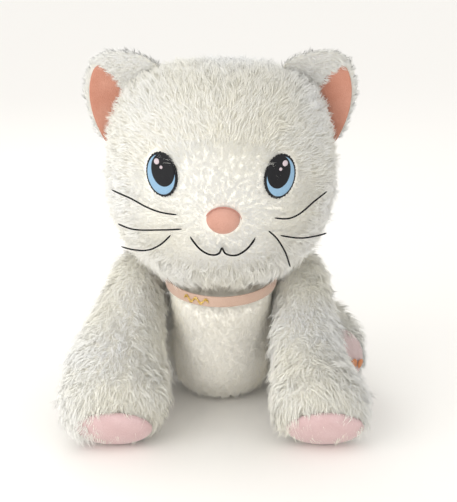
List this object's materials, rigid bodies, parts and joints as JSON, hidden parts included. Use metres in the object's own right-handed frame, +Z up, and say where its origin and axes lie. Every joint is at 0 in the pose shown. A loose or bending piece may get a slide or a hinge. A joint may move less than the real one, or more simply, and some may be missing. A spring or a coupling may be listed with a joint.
{
  "type": "seated plush cat",
  "caption": "Seated long-pile plush cat with a round head, pink-lined ears, stitched face, collar, planted forelegs, hind legs, tail and stuffing inside each skin.",
  "frame": {"origin": "on the floor under the centre of the cat's overall box", "axes": "+Z up, the face looks along -Y, the cat's own left is +X"},
  "size_m": [0.3254, 0.3498, 0.4066],
  "materials": {
    "white_fur": "long-pile faux fur",
    "white_plush": "shorter smooth plush",
    "pink_velour": "short velour",
    "pale_pink_plush": "short plush",
    "black_thread": "satin stitch",
    "blue_thread": "satin stitch",
    "shine_thread": "satin stitch",
    "nose_pink": "padded satin",
    "nose_thread": "stitched thread",
    "fibrefill": "loose polyester fibre",
    "pellet_cloth": "woven bag of pellets",
    "seam_thread": "hand-sewn thread",
    "collar_velour": "short velour",
    "hook_and_loop": "hook and loop tape",
    "gold_foil": "glitter foil print",
    "copper_foil": "metallic stitch"
  },
  "bodies": {
    "torso": {"torso_skin": "white_fur", "torso_stuffing": "fibrefill", "pellet_bag": "pellet_cloth", "belly_panel": "white_plush", "closing_seam": "seam_thread"},
    "neck": {"neck_stuffing": "fibrefill"},
    "head": {"head_skin": "white_fur", "head_stuffing": "fibrefill", "eye_left_outline": "black_thread", "eye_left_iris": "blue_thread", "eye_left_pupil": "black_thread", "eye_left_shine_large": "shine_thread", "eye_left_shine_small": "shine_thread", "eye_right_outline": "black_thread", "eye_right_iris": "blue_thread", "eye_right_pupil": "black_thread", "eye_right_shine_large": "shine_thread", "eye_right_shine_small": "shine_thread", "nose": "nose_pink", "nose_stitch": "nose_thread", "mouth_stitch": "black_thread", "whisker_left_upper": "black_thread", "whisker_left_middle": "black_thread", "whisker_left_lower": "black_thread", "whisker_right_upper": "black_thread", "whisker_right_middle": "black_thread", "whisker_right_lower": "black_thread"},
    "ear_left": {"ear_left_skin": "white_fur", "ear_left_lining": "pink_velour"},
    "ear_right": {"ear_right_skin": "white_fur", "ear_right_lining": "pink_velour"},
    "foreleg_left": {"foreleg_left_skin": "white_fur", "foreleg_left_stuffing": "fibrefill", "foreleg_left_sole": "pale_pink_plush"},
    "foreleg_right": {"foreleg_right_skin": "white_fur", "foreleg_right_stuffing": "fibrefill", "foreleg_right_sole": "pale_pink_plush"},
    "hindleg_left": {"hindleg_left_skin": "white_fur", "hindleg_left_stuffing": "fibrefill", "hindleg_left_sole": "pale_pink_plush", "hindleg_left_petal_inner": "copper_foil", "hindleg_left_petal_outer": "copper_foil"},
    "hindleg_right": {"hindleg_right_skin": "white_fur", "hindleg_right_stuffing": "fibrefill", "hindleg_right_sole": "pale_pink_plush"},
    "tail": {"tail_skin": "white_fur", "tail_stuffing": "fibrefill"},
    "collar": {"collar_band": "collar_velour", "collar_fastener": "hook_and_loop", "collar_motif": "gold_foil"}
  },
  "joints": [
    {"name": "neck_turn", "type": "hinge", "parent": "torso", "child": "neck", "pos_m": [0, -0.04786, 0.175], "axis": [0, 0, 1], "range_deg": [-30, 30], "stiffness_Nm_per_rad": 1.5},
    {"name": "head_nod", "type": "hinge", "parent": "neck", "child": "head", "pos_m": [0, -0.04786, 0.175], "axis": [1, 0, 0], "range_deg": [-12, 10], "stiffness_Nm_per_rad": 1.5},
    {"name": "ear_left_bend", "type": "hinge", "parent": "head", "child": "ear_left", "pos_m": [0.0935, -0.05336, 0.357], "axis": [-0.682, 0, 0.7314], "range_deg": [-9, 12], "stiffness_Nm_per_rad": 0.08},
    {"name": "ear_right_bend", "type": "hinge", "parent": "head", "child": "ear_right", "pos_m": [-0.0935, -0.05336, 0.357], "axis": [-0.682, 0, -0.7314], "range_deg": [-9, 12], "stiffness_Nm_per_rad": 0.08},
    {"name": "shoulder_left", "type": "hinge", "parent": "torso", "child": "foreleg_left", "pos_m": [0.0622, -0.02286, 0.142], "axis": [1, 0, 0], "range_deg": [-55, 3], "stiffness_Nm_per_rad": 0.8},
    {"name": "shoulder_right", "type": "hinge", "parent": "torso", "child": "foreleg_right", "pos_m": [-0.0622, -0.02286, 0.142], "axis": [1, 0, 0], "range_deg": [-55, 3], "stiffness_Nm_per_rad": 0.8},
    {"name": "hip_left", "type": "hinge", "parent": "torso", "child": "hindleg_left", "pos_m": [0.071, 0.05614, 0.0545], "axis": [1, 0, 0], "range_deg": [-14, 10], "stiffness_Nm_per_rad": 0.8},
    {"name": "hip_right", "type": "hinge", "parent": "torso", "child": "hindleg_right", "pos_m": [-0.071, 0.05614, 0.0545], "axis": [1, 0, 0], "range_deg": [-14, 10], "stiffness_Nm_per_rad": 0.8},
    {"name": "tail_swing", "type": "hinge", "parent": "torso", "child": "tail", "pos_m": [0, 0.10314, 0.036], "axis": [0, 0, 1], "range_deg": [-10, 20], "stiffness_Nm_per_rad": 0.3},
    {"name": "collar_turn", "type": "hinge", "parent": "torso", "child": "collar", "pos_m": [0, -0.04986, 0.16], "axis": [0, -0.1736, 0.9848], "continuous": true}
  ]
}
